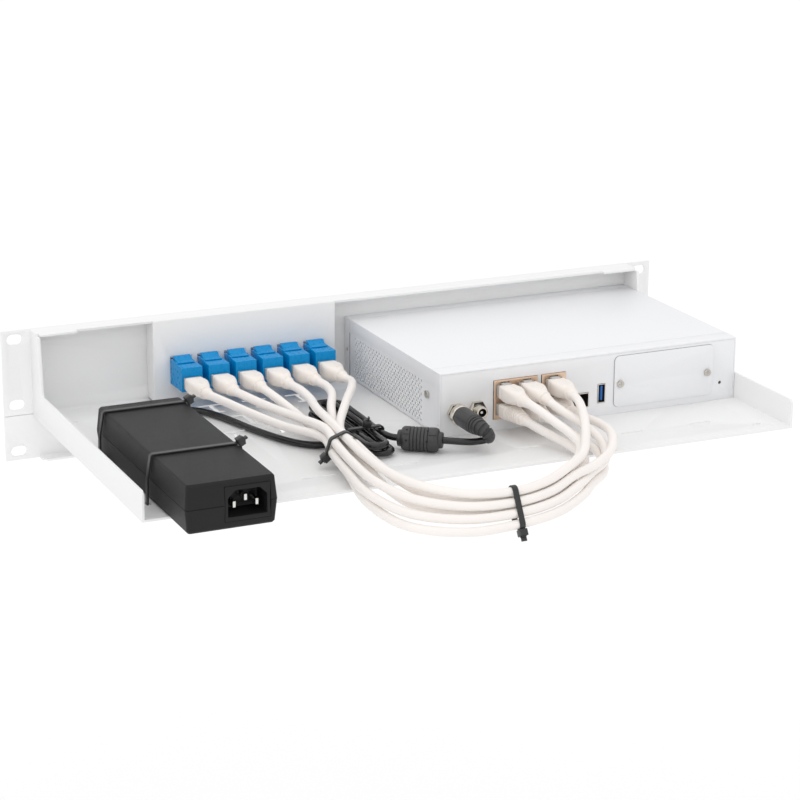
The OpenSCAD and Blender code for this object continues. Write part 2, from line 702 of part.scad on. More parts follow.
module front_bezel() color(case_white) rack() difference() {
    block([case_x0, case_x1], [case_y0, case_y0 + bezel_d - 0.1], [case_z0, case_z1]);
    block([case_x0 + 1.6, case_x1 - 1.6], [case_y0 + 2.4, case_y0 + bezel_d + 1],
        [case_z0 + 1.6, case_z1 - 1.6]);
    for (k = [0 : 7]) rod_y(case_x1 - 22 - 9 * k, case_z1 - 14, case_y0 - 1, case_y0 + 4, 1.6);
    for (x = [case_x0 - 1, case_x1 - 3]) translate([x, 4.6, case_z0 + 20]) rotate([0, 90, 0])
        cylinder(h = 4, r = 1.5);
}

module status_lens() color("lightgreen") rack() {
    for (k = [0 : 7]) rod_y(case_x1 - 22 - 9 * k, case_z1 - 14, case_y0 - 0.2, case_y0 + 4.5, 1.5);
    block([case_x1 - 88, case_x1 - 19], [case_y0 + 3, case_y0 + 5], [case_z1 - 16.5, case_z1 - 11.5]);
}

module main_board() color(board_green) rack() {
    block([case_x0 + 5, case_x1 - 5], [14, 150], [board_z, board_top]);
    // Processor, memory, storage and the bay's edge connector
    block([-140, -110], [50, 80], [board_top - eps, board_top + 2.4]);
    for (k = [0 : 3]) block([-100 + 12 * k, -91 + 12 * k], [50, 64], [board_top - eps, board_top + 1.2]);
    block([-200, -158], [60, 66], [board_top - eps, board_top + 8]);
    for (x = [-30, -40, -50]) translate([x, 100, board_top - eps]) cylinder(h = 12, r = 4);
    // Switch body behind the reset pinhole
    difference() {
        block([reset_pos[0] - 3, reset_pos[0] + 3], [140, 148.5], [board_top - eps, 45.8]);
        rod_y(reset_pos[0], reset_pos[1], 145.8, 150, 1.15);
    }
}

module heat_sink() color(silver) rack() {
    block([-152, -98], [38, 92], [board_top + 2.4, board_top + 6.4]);
    for (k = [0 : 9])
        block([-152 + 5.8 * k, -150.2 + 5.8 * k], [38, 92], [board_top + 6.4 - eps, board_top + 24]);
}

// A block of shielded jacks: columns at xs, two rows, latches outwards
module jack_block(x, cols) {
    z = [board_top, 64.1];
    difference() {
        block(x, [132, case_y1 + 0.7], z);
        for (c = cols, r = [0, 1]) {
            m = jack_row_z[r];
            block([c - 5.95, c + 5.95], [141, case_y1 + 2], [m - 3.95, m + 3.95]);
            block([c - 3.1, c + 3.1], [141, case_y1 + 2],
                r > 0 ? [m + 3.9, m + 5.6] : [m - 5.6, m - 3.9]);
        }
    }
}

module lan_jacks() color(copper_shield) rack() jack_block([-70.2, -38.7], [jack_x[0], jack_x[1]]);
module wan_jacks() color(copper_shield) rack() jack_block([-90.8, -73.3], [jack_x[2]]);

module sfp_cage() color(silver) rack() difference() {
    block([-108.6, -94.1], [104, case_y1 + 0.5], [board_top, 47.9]);
    block([-108, -94.7], [106, case_y1 + 2], [board_top + 0.6, 47.3]);
}

module usb_port() color(silver) rack() {
    difference() {
        block([-120.8, -115.2], [136, case_y1 + 0.4], [39.5, 52.5]);
        block([-120.3, -115.7], [138, case_y1 + 2], [40, 52]);
    }
    color("royalblue") block([-119.2, -117.6], [137, case_y1 - 0.6], [41, 51]);
    block([-120, -116], [136, 140], [board_top, 39.5 + eps]);
}

module dc_jacks() color(silver) rack() for (x = dc_x) {
    block([x - 5, x + 5], [138, case_y1 - case_t - 0.1], [board_top, dc_z + 5.5]);
    difference() {
        union() {
            rod_y(x, dc_z, case_y1 - case_t - 0.2, case_y1 + 8.6, 3.95);
            translate([x, case_y1 + 0.05, dc_z]) rotate([-90, 0, 0]) cylinder(h = 2.6, r = 6.3, $fn = 6);
        }
        rod_y(x, dc_z, case_y1 + 0.4, case_y1 + 10, 2.75);
    }
    rod_y(x, dc_z, case_y1, case_y1 + 7.6, 0.95);
}

module bay_cover() color(case_white) rack() difference() {
    plate_xz(case_y1 + 0.02, case_y1 + 0.9) round_rect(bay_x, bay_z, 3.5);
    for (x = bay_screw_x) rod_y(x, bay_screw_z, case_y1 - 1, case_y1 + 2, 1.4);
}

module bay_screws() color(silver) rack()
    for (x = bay_screw_x) screw_y(x, bay_screw_z, case_y1 - 5, case_y1 + 2.2, 2.4, 1.2);

module reset_button() color(black) rack()
    rod_y(reset_pos[0], reset_pos[1], 147.2, case_y1 - 0.3, 0.95);

module case_screws() color(silver) rack() {
    for (side = [0, 1]) {
        x = side > 0 ? case_x1 : case_x0;
        turn = side > 0 ? -90 : 90;
        translate([x, 133.8, case_z0 + 24]) rotate([0, 0, turn]) screw_y(0, 0, -3.4, 1.1, 2.6, 1.4);
        translate([x, 4.6, case_z0 + 20]) rotate([0, 0, turn]) screw_y(0, 0, -3.4, 0.2, 1.35, 1);
    }
}

front_panel();
blank_panel();
tray();
coupler_plate();
tray_screws();
coupler(1);  // coupler_1
coupler(2);  // coupler_2
coupler(3);  // coupler_3
coupler(4);  // coupler_4
coupler(5);  // coupler_5
coupler(6);  // coupler_6
coupler_latch(1);  // coupler_latch_1
coupler_latch(2);  // coupler_latch_2
coupler_latch(3);  // coupler_latch_3
coupler_latch(4);  // coupler_latch_4
coupler_latch(5);  // coupler_latch_5
coupler_latch(6);  // coupler_latch_6
patch_plugs(1);  // patch_plugs_1
patch_plugs(2);  // patch_plugs_2
patch_plugs(3);  // patch_plugs_3
patch_plugs(4);  // patch_plugs_4
patch_plugs(5);  // patch_plugs_5
patch_plugs(6);  // patch_plugs_6
patch_cable(1);  // patch_cable_1
patch_cable(2);  // patch_cable_2
patch_cable(3);  // patch_cable_3
patch_cable(4);  // patch_cable_4
patch_cable(5);  // patch_cable_5
patch_cable(6);  // patch_cable_6
bundle_tie_1();
bundle_tie_2();
brick_top_shell();
brick_bottom_shell();
mains_inlet();
brick_board();
brick_grommet();
brick_ties();
dc_lead_run_1();
dc_lead_hank();
dc_lead_run_2();
hank_tie();
ferrite_shell();
dc_plug();
chassis_base();
top_cover();
side_vents();
front_bezel();
status_lens();
main_board();
heat_sink();
lan_jacks();
wan_jacks();
sfp_cage();
usb_port();
dc_jacks();
bay_cover();
bay_screws();
reset_button();
case_screws();
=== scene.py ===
"""Rack kit with a firewall appliance, its power brick and its cables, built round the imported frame.

The view is from the rear. Sheets, cases and ports are the CAD's own shapes with their edges softened.
Cords, plugs, ties and latch arms are drawn again here, at the places that the CAD gives them."""
import json
import math

import bmesh
import bpy
from mathutils import Matrix, Vector, geometry

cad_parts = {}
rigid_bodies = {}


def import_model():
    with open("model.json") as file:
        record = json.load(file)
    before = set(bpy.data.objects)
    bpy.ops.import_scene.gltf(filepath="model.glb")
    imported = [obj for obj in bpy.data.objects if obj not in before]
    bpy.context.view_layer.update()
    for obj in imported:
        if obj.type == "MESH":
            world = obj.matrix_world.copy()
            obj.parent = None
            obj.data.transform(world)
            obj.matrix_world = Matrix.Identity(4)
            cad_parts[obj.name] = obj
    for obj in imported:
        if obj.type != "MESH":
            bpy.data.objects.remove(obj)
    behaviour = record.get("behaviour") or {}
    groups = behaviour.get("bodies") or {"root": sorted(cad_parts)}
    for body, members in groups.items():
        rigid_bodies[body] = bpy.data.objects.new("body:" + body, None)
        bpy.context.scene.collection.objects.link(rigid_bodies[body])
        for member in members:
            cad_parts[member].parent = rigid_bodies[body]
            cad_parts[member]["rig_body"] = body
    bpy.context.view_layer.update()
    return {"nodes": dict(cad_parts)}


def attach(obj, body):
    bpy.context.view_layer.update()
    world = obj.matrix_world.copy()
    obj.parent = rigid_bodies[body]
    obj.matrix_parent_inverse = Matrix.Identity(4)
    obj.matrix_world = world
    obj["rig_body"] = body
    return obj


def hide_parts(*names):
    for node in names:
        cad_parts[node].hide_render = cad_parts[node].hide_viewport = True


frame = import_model()
nodes = frame["nodes"]

# Lengths below are in millimetres from the blank panel's bottom edge, as in the part's source.
EAR_MID = 59.925
ROOT = "rack_unit"
# Normals are smoothed below this angle, and edges sharper than the second one are rounded, in degrees
SMOOTH_BELOW = 35
ROUND_ABOVE = 30
TO_ROW = Matrix.Translation((0, 0, -EAR_MID * 0.001)) @ Matrix.Diagonal((0.001, 0.001, 0.001, 1))


def row(p):
    """A point in the row frame, in metres."""
    return TO_ROW @ Vector(p)


# ---------------------------------------------------------------- camera and lamps
# Solved from the panel's corners: place in metres, and yaw, pitch and roll in degrees
CAMERA_PLACE = (0.635, 1.4718, 0.4539)
CAMERA_TURN = (-24.73, 17.37, 0.38)
CAMERA_LENS = 108.68
UNIT_MIDDLE = Vector((0, 0.1, 0))


def add_camera():
    cam = bpy.data.cameras.new("camera")
    cam.lens = CAMERA_LENS
    cam.sensor_width = 36
    cam.clip_start = 0.05
    ob = bpy.data.objects.new("camera", cam)
    yaw, pitch, roll = (math.radians(v) for v in CAMERA_TURN)
    ahead = Vector((math.sin(yaw) * math.cos(pitch), -math.cos(yaw) * math.cos(pitch), -math.sin(pitch)))
    right = ahead.cross(Vector((0, 0, 1))).normalized()
    up = right.cross(ahead)
    right, up = right * math.cos(roll) + up * math.sin(roll), up * math.cos(roll) - right * math.sin(roll)
    m = Matrix((right, up, -ahead)).transposed().to_4x4()
    m.translation = Vector(CAMERA_PLACE)
    ob.matrix_world = m
    bpy.context.scene.collection.objects.link(ob)
    bpy.context.scene.camera = ob


def area_light(name, place, width, power):
    """A rectangular lamp aimed at the middle of the unit."""
    data = bpy.data.lights.new(name, "AREA")
    data.shape = "RECTANGLE"
    data.size, data.size_y = width
    data.energy = power
    ob = bpy.data.objects.new(name, data)
    ob.location = place
    ob.rotation_euler = (UNIT_MIDDLE - Vector(place)).to_track_quat("-Z", "Y").to_euler()
    bpy.context.scene.collection.objects.link(ob)


add_camera()
bpy.context.scene.view_settings.view_transform = "Standard"


# ---------------------------------------------------------------- materials
def link(nt, a, b):
    nt.links.new(a, b)


# The bump's height in metres, and how far roughness strays from its mean
GRAIN_HEIGHT = 0.0004
ROUGH_BY = 0.05


def surface(name, colour, rough, metal=0.0, blotch=(30, 0.03), grain=None, **sockets):
    """A procedural finish: blotch is (scale, share) of colour change, grain is (scale, strength) of bump."""
    mat = bpy.data.materials.new(name)
    mat.use_nodes = True
    nt = mat.node_tree
    shader = nt.nodes["Principled BSDF"]
    coords = nt.nodes.new("ShaderNodeTexCoord")

    def noise(scale, detail):
        n = nt.nodes.new("ShaderNodeTexNoise")
        n.inputs["Scale"].default_value = scale
        n.inputs["Detail"].default_value = detail
        link(nt, coords.outputs["Object"], n.inputs["Vector"])
        return n.outputs["Fac"]

    mix = nt.nodes.new("ShaderNodeMix")
    mix.data_type = "RGBA"
    mix.inputs["A"].default_value = [c * (1 - blotch[1]) for c in colour] + [1]
    mix.inputs["B"].default_value = [min(1, c * (1 + blotch[1])) for c in colour] + [1]
    link(nt, noise(blotch[0], 4), mix.inputs["Factor"])
    link(nt, mix.outputs["Result"], shader.inputs["Base Color"])
    spread = nt.nodes.new("ShaderNodeMapRange")
    spread.inputs["To Min"].default_value = rough - ROUGH_BY
    spread.inputs["To Max"].default_value = rough + ROUGH_BY
    link(nt, noise(blotch[0] * 7, 5), spread.inputs["Value"])
    link(nt, spread.outputs["Result"], shader.inputs["Roughness"])
    if grain:
        bump = nt.nodes.new("ShaderNodeBump")
        bump.inputs["Strength"].default_value = grain[1]
        bump.inputs["Distance"].default_value = GRAIN_HEIGHT
        link(nt, noise(grain[0], 3), bump.inputs["Height"])
        link(nt, bump.outputs["Normal"], shader.inputs["Normal"])
    shader.inputs["Metallic"].default_value = metal
    for key, value in sockets.items():
        shader.inputs[key.replace("_", " ")].default_value = value
    return mat


# Colours are linear
POWDER = surface("powder_white", (0.85, 0.85, 0.85), 0.5, grain=(1400, 0.10), blotch=(14, 0.012))
CASE = surface("case_white", (0.83, 0.835, 0.85), 0.42, grain=(2200, 0.05), blotch=(12, 0.012))
BLUE = surface("coupler_blue", (0.0, 0.26, 0.60), 0.28, grain=(900, 0.05), blotch=(60, 0.06),
               Specular_IOR_Level=0.25)
PLUG = surface("plug_white", (0.88, 0.82, 0.77), 0.48, grain=(700, 0.06), blotch=(90, 0.035),
               Subsurface_Weight=0.12, Subsurface_Radius=(0.003, 0.002, 0.0015), Subsurface_Scale=0.4)
CABLE = surface("cable_white", (0.90, 0.855, 0.82), 0.4, grain=(420, 0.10), blotch=(50, 0.03))
CLEAR = surface("clear_plastic", (0.86, 0.84, 0.82), 0.2, blotch=(60, 0.03),
                Transmission_Weight=0.45, IOR=1.45)
GOLD = surface("contact_gold", (0.83, 0.60, 0.25), 0.3, 1.0, blotch=(300, 0.08))
TIE = surface("tie_black", (0.022, 0.022, 0.023), 0.34, grain=(900, 0.08), blotch=(60, 0.15))
LEAD = surface("lead_black", (0.012, 0.012, 0.013), 0.2, grain=(400, 0.04), blotch=(60, 0.18))
BRICK = surface("brick_black", (0.018, 0.0175, 0.0175), 0.42, grain=(2600, 0.5), blotch=(40, 0.08),
                Specular_IOR_Level=0.15)
INLET = surface("inlet_black", (0.010, 0.010, 0.011), 0.35, grain=(1500, 0.1), blotch=(60, 0.15),
                Specular_IOR_Level=0.25)
RUBBER = surface("grip_black", (0.035, 0.035, 0.037), 0.42, grain=(1800, 0.25), blotch=(60, 0.12))
BOARD = surface("board_green", (0.03, 0.16, 0.07), 0.4, grain=(500, 0.15), blotch=(300, 0.25))
STEEL = surface("screw_steel", (0.60, 0.575, 0.53), 0.3, 1.0, grain=(1600, 0.12), blotch=(300, 0.1))
NICKEL = surface("jack_nickel", (0.70, 0.655, 0.58), 0.24, 1.0, grain=(900, 0.08), blotch=(200, 0.08))
PIN = surface("pin_bright", (0.72, 0.71, 0.68), 0.25, 1.0, blotch=(300, 0.05))
SHIELD = surface("jack_shield", (0.74, 0.56, 0.42), 0.36, 1.0, grain=(1200, 0.1), blotch=(160, 0.1))
ALU = surface("sink_aluminium", (0.74, 0.75, 0.77), 0.35, 1.0, grain=(700, 0.1), blotch=(60, 0.06))
# Black plastic inside the network and power jacks, and painted shade in the coupler pockets, the SFP cage
# and the USB shell
BLACK_AND_SHADE = surface("black_insert_and_painted_shade", (0.012, 0.011, 0.010), 0.5, grain=(800, 0.1), blotch=(100, 0.2))
TONGUE = surface("usb_blue", (0.01, 0.12, 0.42), 0.35, grain=(900, 0.05), blotch=(100, 0.1))
LENS = surface("lens_clear", (0.45, 0.62, 0.50), 0.15, blotch=(200, 0.1), Transmission_Weight=0.5)
# Bare zinc inside the case, made darker than bare zinc as painted shade so the vent holes read dark
ZINC_AND_SHADE = surface("bare_zinc_and_painted_shade", (0.20, 0.20, 0.21), 0.5, 0.7, grain=(900, 0.1), blotch=(80, 0.1))
# Grey for the painted shadow ring round the bay cover
PAINTED_SEAM_SHADOW = surface("seam_shadow", (0.33, 0.33, 0.35), 0.6, blotch=(200, 0.1))
# The floor's emission is painted light; stage() makes it stronger away from the object
FLOOR = surface("studio_floor", (0.93, 0.93, 0.93), 0.8, blotch=(2, 0.004), Emission_Color=(1, 1, 1, 1))


# ---------------------------------------------------------------- mesh helpers, in millimetres
class Shape:
    """Collects closed parts, each with its own material, into one piece."""

    def __init__(self):
        self.bm = bmesh.new()
        self.mats = []

    def add(self, part, mat, matrix=None):
        """Takes in the bmesh part, and frees it."""
        if mat not in self.mats:
            self.mats.append(mat)
        me = bpy.data.meshes.new("part")
        part.to_mesh(me)
        part.free()
        if matrix is not None:
            me.transform(matrix)
        for face in me.polygons:
            face.material_index = self.mats.index(mat)
        self.bm.from_mesh(me)
        bpy.data.meshes.remove(me)

    def piece(self, name, body, replaces=()):
        self.bm.transform(TO_ROW)
        bmesh.ops.recalc_face_normals(self.bm, faces=self.bm.faces)
        me = bpy.data.meshes.new(name)
        self.bm.to_mesh(me)
        self.bm.free()
        ob = bpy.data.objects.new(name, me)
        for mat in self.mats:
            me.materials.append(mat)
        return finish_piece(ob, body, replaces)


def finish_piece(ob, body, replaces=()):
    if not ob.users_collection:
        bpy.context.scene.collection.objects.link(ob)
    if ob.type == "MESH":
        ob.data.shade_smooth()
        ob.data.set_sharp_from_angle(angle=math.radians(SMOOTH_BELOW))
    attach(ob, body)
    if replaces:
        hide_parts(*replaces)
    return ob


def round_edges(bm, r, segments=2):
    edges = [e for e in bm.edges if e.is_manifold and e.calc_face_angle(0) > math.radians(ROUND_ABOVE)]
    if edges and r:
        bmesh.ops.bevel(bm, geom=edges, offset=r, segments=segments, profile=0.5, affect="EDGES",
                        clamp_overlap=True)
    return bm


def box(x, y, z, r=0.3, segments=2):
    bm = bmesh.new()
    bmesh.ops.create_cube(bm, size=1)
    spans = [(min(s), max(s)) for s in (x, y, z)]
    for v in bm.verts:
        v.co = Vector([(lo + hi) / 2 + c * (hi - lo) for (lo, hi), c in zip(spans, v.co)])
    return round_edges(bm, r, segments)


def skin(rings, closed=False):
    """Bridges rings of points, all of one count, and caps the ends unless they close on each other."""
    bm = bmesh.new()
    made = [[bm.verts.new(p) for p in ring] for ring in rings]
    n = len(made[0])
    for a, b in zip(made, made[1:] + made[:1] if closed else made[1:]):
        for k in range(n):
            bm.faces.new((a[k], a[(k + 1) % n], b[(k + 1) % n], b[k]))
    if not closed:
        bm.faces.new(list(reversed(made[0])))
        bm.faces.new(made[-1])
    bmesh.ops.recalc_face_normals(bm, faces=bm.faces)
    return bm


def prism(outline, lo, hi, r, segments=2):
    """An outline of (y, z) pairs extruded along x, its edges rounded."""
    return round_edges(skin([[(x, y, z) for y, z in outline] for x in (lo, hi)]), r, segments)


def circle(r, n):
    return [(r * math.cos(2 * math.pi * k / n), r * math.sin(2 * math.pi * k / n)) for k in range(n)]


def square_to(heading):
    """The level direction and the rising one that are square to a heading."""
    side = heading.cross(Vector((0, 0, 1))).normalized()
    return side, side.cross(heading)


def lathe(profile, origin, heading=(0, 1, 0), n=32):
    """A solid of revolution: profile is [(distance along heading, radius)]."""
    heading = Vector(heading).normalized()
    side, up = square_to(heading)
    return skin([[Vector(origin) + heading * s + side * a + up * b for a, b in circle(r, n)]
                 for s, r in profile])


def oblong(half_w, half_h, power, n=32):
    """A superellipse: power 2 is round, 6 is nearly a rectangle."""
    out = []
    for k in range(n):
        c, s = math.cos(2 * math.pi * (k + 0.5) / n), math.sin(2 * math.pi * (k + 0.5) / n)
        out.append((half_w * math.copysign(abs(c) ** (2 / power), c),
                    half_h * math.copysign(abs(s) ** (2 / power), s)))
    return out


def catmull(points, steps):
    """A smooth line through the points, with that many steps from each to the next."""
    pts = [Vector(p) for p in points]
    out = []
    for i, (b, c) in enumerate(zip(pts, pts[1:])):
        a = pts[i - 1] if i else b * 2 - c
        d = pts[i + 2] if i + 2 < len(pts) else c * 2 - b
        for k in range(steps):
            t = k / steps
            out.append((b * 2 + (c - a) * t + (a * 2 - b * 5 + c * 4 - d) * t * t
                        + (b * 3 - a - c * 3 + d) * t * t * t) / 2)
    return out + [pts[-1]]


def lengths(points):
    """The distance along a polyline at each of its points."""
    run = [0.0]
    for a, b in zip(points, points[1:]):
        run.append(run[-1] + (b - a).length)
    return run


def along(points, run, s):
    """The point and heading at distance s along a polyline."""
    s = min(max(s, 0), run[-1])
    k = max(i for i in range(len(points) - 1) if run[i] <= s + 1e-9)
    f = (s - run[k]) / (run[k + 1] - run[k])
    before, after = points[max(k - 1, 0)], points[min(k + 2, len(points) - 1)]
    return points[k].lerp(points[k + 1], f), (after - before).normalized()


def loft(points, sections):
    """Sections [(distance, half width, half height, power)] carried along a path."""
    run = lengths(points)
    rings = []
    for s, w, h, power in sections:
        p, t = along(points, run, s)
        side, up = square_to(t)
        rings.append([p + side * a + up * b for a, b in oblong(w, h, power)])
    return skin(rings)


def band(points, wide, w, t, closed=True):
    """A flat strip w wide along the direction wide, t thick, along a path."""
    pts = [Vector(p) for p in points]
    wide = Vector(wide).normalized()
    n = len(pts)
    rings = []
    for i, p in enumerate(pts):
        a = pts[(i - 1) % n] if closed or i else p
        b = pts[(i + 1) % n] if closed or i + 1 < n else p
        out = (b - a).normalized().cross(wide).normalized()
        rim = w / 2 - 0.25
        rings.append([p + wide * x + out * y for x, y in (
            (-w / 2, -t / 4), (-rim, -t / 2), (rim, -t / 2), (w / 2, -t / 4),
            (w / 2, t / 4), (rim, t / 2), (-rim, t / 2), (-w / 2, t / 4))])
    return skin(rings, closed=closed)


def rounded_loop(corners, radii, steps=6):
    """A closed 2-D outline with its corners rounded."""
    out = []
    n = len(corners)
    for i, r in enumerate(radii):
        p = Vector(corners[i])
        a = (Vector(corners[i - 1]) - p).normalized()
        b = (Vector(corners[(i + 1) % n]) - p).normalized()
        half = a.angle(b) / 2
        cut = r / math.tan(half)
        centre = p + (a + b).normalized() * (r / math.sin(half))
        start, end = p + a * cut - centre, p + b * cut - centre
        for k in range(steps + 1):
            v = start.lerp(end, k / steps).normalized() * r
            out.append(centre + v)
    return out


def softened(node, name, mat, r, segments=2, cut=None):
    """The CAD node's own shape with its edges rounded, after taking away the solid cut."""
    bm = bmesh.new()
    bm.from_mesh(nodes[node].data)
    bmesh.ops.remove_doubles(bm, verts=bm.verts, dist=1e-6)
    bmesh.ops.dissolve_limit(bm, angle_limit=math.radians(0.5), verts=bm.verts, edges=bm.edges)
    me = bpy.data.meshes.new(name)
    bm.to_mesh(me)
    bm.free()
    ob = bpy.data.objects.new(name, me)
    bpy.context.scene.collection.objects.link(ob)
    if cut:
        carve(ob, cut)
    bm = bmesh.new()
    bm.from_mesh(ob.data)
    round_edges(bm, r * 0.001, segments)
    bm.to_mesh(ob.data)
    bm.free()
    ob.data.materials.clear()
    ob.data.materials.append(mat)
    return finish_piece(ob, nodes[node]["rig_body"], (node,))


def carve(ob, cut):
    """Takes the closed solid cut away from ob."""
    cut.transform(TO_ROW)
    me = bpy.data.meshes.new("tool")
    cut.to_mesh(me)
    cut.free()
    cutter = bpy.data.objects.new("tool", me)
    bpy.context.scene.collection.objects.link(cutter)
    mod = ob.modifiers.new("cut", "BOOLEAN")
    mod.object = cutter
    mod.operation = "DIFFERENCE"
    mod.solver = "EXACT"
    bpy.context.view_layer.update()
    done = bpy.data.meshes.new_from_object(ob.evaluated_get(bpy.context.evaluated_depsgraph_get()))
    ob.modifiers.clear()
    ob.data = done
    bpy.data.objects.remove(cutter)


# ---------------------------------------------------------------- patch cables and the low-voltage lead
# Diameters
CABLE_D = 5.7
LEAD_D = 4.4
# The couplers' middle, pitch, rear face and socket height, and the case's sides and rear wall
COUPLER_MID_X = 76.4
COUPLER_PITCH = 19.05
COUPLER_Y1 = 36
SOCKET_Z = 50
CASE_X = (-220.1, -0.5)
CASE_Y1 = 152.5
# Where the cables leave their boots, at the couplers and at the appliance
BOOT_END_Y = 52
JACK_BOOT_END_Y = 176
CABLES = range(6)
COUPLER_X = [COUPLER_MID_X + COUPLER_PITCH * (3.5 - i) for i in range(1, 7)]
JACK_X = (-46.6, -62.3, -82)
JACK_Z = (44.9, 57.1)
# Each cable's jack, as places in JACK_X and JACK_Z
JACK_OF = ((1, 1), (2, 0), (1, 0), (2, 1), (0, 0), (0, 1))

# Stations of the loop: x, y, z, side spread, height spread
LOOP = [
    (76, 156, 45, 1, 1), (79, 184, 43.2, 1.35, 1), (82, 214, 42, 1.6, 1), (81, 243, 38.5, 1.9, 1.2),
    (71, 270, 35, 1.8, 1.3), (47, 288, 33, 1.3, 1.15), (17, 292, 33, 1, 1), (-9, 286, 34, 1, 1),
    (-32, 272, 36, 1, 1),
]
# Each cable's place in the bundle: round a circle at the first tie, (across, up) at the second
TIE_1_ANGLE = (-20, 40, -80, 100, 220, 160)
TIE_1_R = 6.1
TIE_2_PLACE = ((3.8, -2.8), (0.6, 2.8), (7, -8.4), (-2.6, 8.4), (-2.6, -2.8), (-5.8, 2.8))
# Each cable from its coupler to the bundle, and from the bundle to its jack
FAN = [
    [(123, 63, 49.5), (117, 78, 48), (107, 99, 45), (95, 124, 42.5)],
    [(104.5, 63, 49.5), (101, 78, 49), (95, 98, 48), (87, 123, 47.5)],
    [(85.5, 63, 49.5), (83, 78, 47.5), (80, 98, 44.5), (77, 124, 41)],
    [(66, 63, 49.5), (64.5, 78, 49.5), (66, 98, 49.5), (71, 122, 50)],
    [(46.5, 63, 49.5), (45, 76, 49), (49, 94, 49), (60.5, 120, 47.5)],
    [(27.5, 63, 49.5), (27, 75, 50), (35, 93, 51), (51, 120, 50)],
]
RISE = [
    [(-53, 258, 33.5), (-68, 247, 35.5), (-76, 233, 37.5), (-79, 219, 41), (-75, 204, 46), (-67, 190, 52)],
    [(-52, 262, 39.5), (-68, 251, 41.5), (-79, 237, 43.5), (-86, 221, 44.5), (-88, 204, 44.5),
     (-85, 189, 44.5)],
    [(-51, 262, 28), (-65, 250, 28.5), (-73, 237, 30.5), (-75, 223, 34.5), (-73, 208, 37), (-67, 191, 41.5)],
    [(-48, 255, 45.5), (-58, 240, 49.5), (-66, 225, 52.5), (-73, 209, 55), (-79, 192, 57)],
    [(-46, 252, 33), (-57, 241, 33.5), (-63, 228, 34.5), (-62, 213, 35.8), (-57, 199, 38.5), (-51, 188, 42)],
    [(-44, 252, 39.5), (-53, 242, 40.5), (-60, 229, 42.5), (-60, 215, 45.5), (-56, 202, 49.5),
     (-50, 188, 55)],
]
# From this station on, the cables lie as they do in the second tie
LAST_MIXED = 5


def in_loop(i, k):
    """A cable's place at station k of the loop."""
    a, b = LOOP[max(k - 1, 0)], LOOP[min(k + 1, len(LOOP) - 1)]
    ahead = Vector((b[0] - a[0], b[1] - a[1])).normalized()
    x, y, z, wide, high = LOOP[k]
    share = min(1, k / LAST_MIXED)
    angle = math.radians(TIE_1_ANGLE[i])
    across = TIE_1_R * math.cos(angle) * (1 - share) + TIE_2_PLACE[i][0] * share
    height = TIE_1_R * math.sin(angle) * (1 - share) + TIE_2_PLACE[i][1] * share
    return (x + ahead.y * across * wide, y - ahead.x * across * wide, z + height * high)


def jack_end(i):
    column, level = JACK_OF[i]
    return (JACK_X[column], JACK_BOOT_END_Y, JACK_Z[level])


def cable_line(i):
    route = [(COUPLER_X[i], BOOT_END_Y, SOCKET_Z)] + FAN[i]
    route += [in_loop(i, k) for k in range(len(LOOP))] + RISE[i] + [jack_end(i)]
    return catmull(route, 7)


def cord_curve(name, line, d, mat):
    data = bpy.data.curves.new(name, "CURVE")
    data.dimensions = "3D"
    data.bevel_depth = d / 2000
    data.bevel_resolution = 5
    data.use_fill_caps = True
    spline = data.splines.new("POLY")
    spline.points.add(len(line) - 1)
    for point, p in zip(spline.points, line):
        point.co = (*row(p), 1)
    spline.use_smooth = True
    data.materials.append(mat)
    ob = bpy.data.objects.new(name, data)
    bpy.context.scene.collection.objects.link(ob)
    return ob


# Boot sections: distance from the jack's face, half width, half height, squareness
BOOT = [
    (2.6, 5.4, 3.9, 7), (2.9, 6.05, 4.5, 8), (4.6, 6.15, 4.6, 8), (4.85, 5.8, 4.25, 8),
    (5.5, 5.85, 4.3, 8), (5.8, 6.2, 4.6, 7.5), (9, 6.75, 4.95, 6.5), (12, 6.8, 5.0, 5.5),
    (15, 6.35, 4.9, 4.6), (18, 5.5, 4.7, 3.4), (20.3, 4.8, 4.35, 2.6), (21.6, 4.3, 4.1, 2.2),
    (21.9, 4.75, 4.55, 2), (24.0, 4.6, 4.45, 2), (24.4, 3.85, 3.8, 2), (26.4, 3.6, 3.55, 2),
    (29, 3.25, 3.2, 2), (29.6, 2.9, 2.9, 2),
]
# The plug's gold contacts, and the ribs or ridges of the two kinds of boot
CONTACTS = 8
CONTACT_PITCH = 1.02
BOOT_RIBS = 7
BOOT_RIDGES = 5


def ribbed_boot():
    """The other kind of boot, with deep ribs from its shoulder to its tip."""
    sections = [s for s in BOOT if s[0] <= 8] + [(10, 6.2, 4.9, 4)]
    for k in range(BOOT_RIBS):
        s, w = 11.2 + 2.2 * k, 5.7 - 0.26 * k
        sections += [(s, w - 0.75, w - 1.0, 2.6), (s + 0.3, w, w - 0.3, 2.6),
                     (s + 1.3, w - 0.05, w - 0.3, 2.6), (s + 1.6, w - 0.8, w - 1.05, 2.6)]
    return sections + [(27.4, 3.4, 3.3, 2), (29.6, 2.9, 2.9, 2)]


def add_ridges(shape, line):
    """Low ridges across the boot's back, bowed towards the cable."""
    run = lengths(line)
    for k in range(BOOT_RIDGES):
        ridge = []
        for j in range(9):
            u = (j - 4) / 4
            p, t = along(line, run, 6.6 + 2.1 * k + 2.6 * (1 - abs(u)))
            side, up = square_to(t)
            ridge.append(p + side * (u * 4.1) + up * (4.86 - 0.03 * (k - 1.5) ** 2 - 0.3 * u ** 4))
        path = catmull(ridge, 2)
        whole = lengths(path)[-1]
        shape.add(loft(path, [(0.1 + (whole - 0.2) * q / 14, 0.5, 0.42, 2) for q in range(15)]), PLUG)


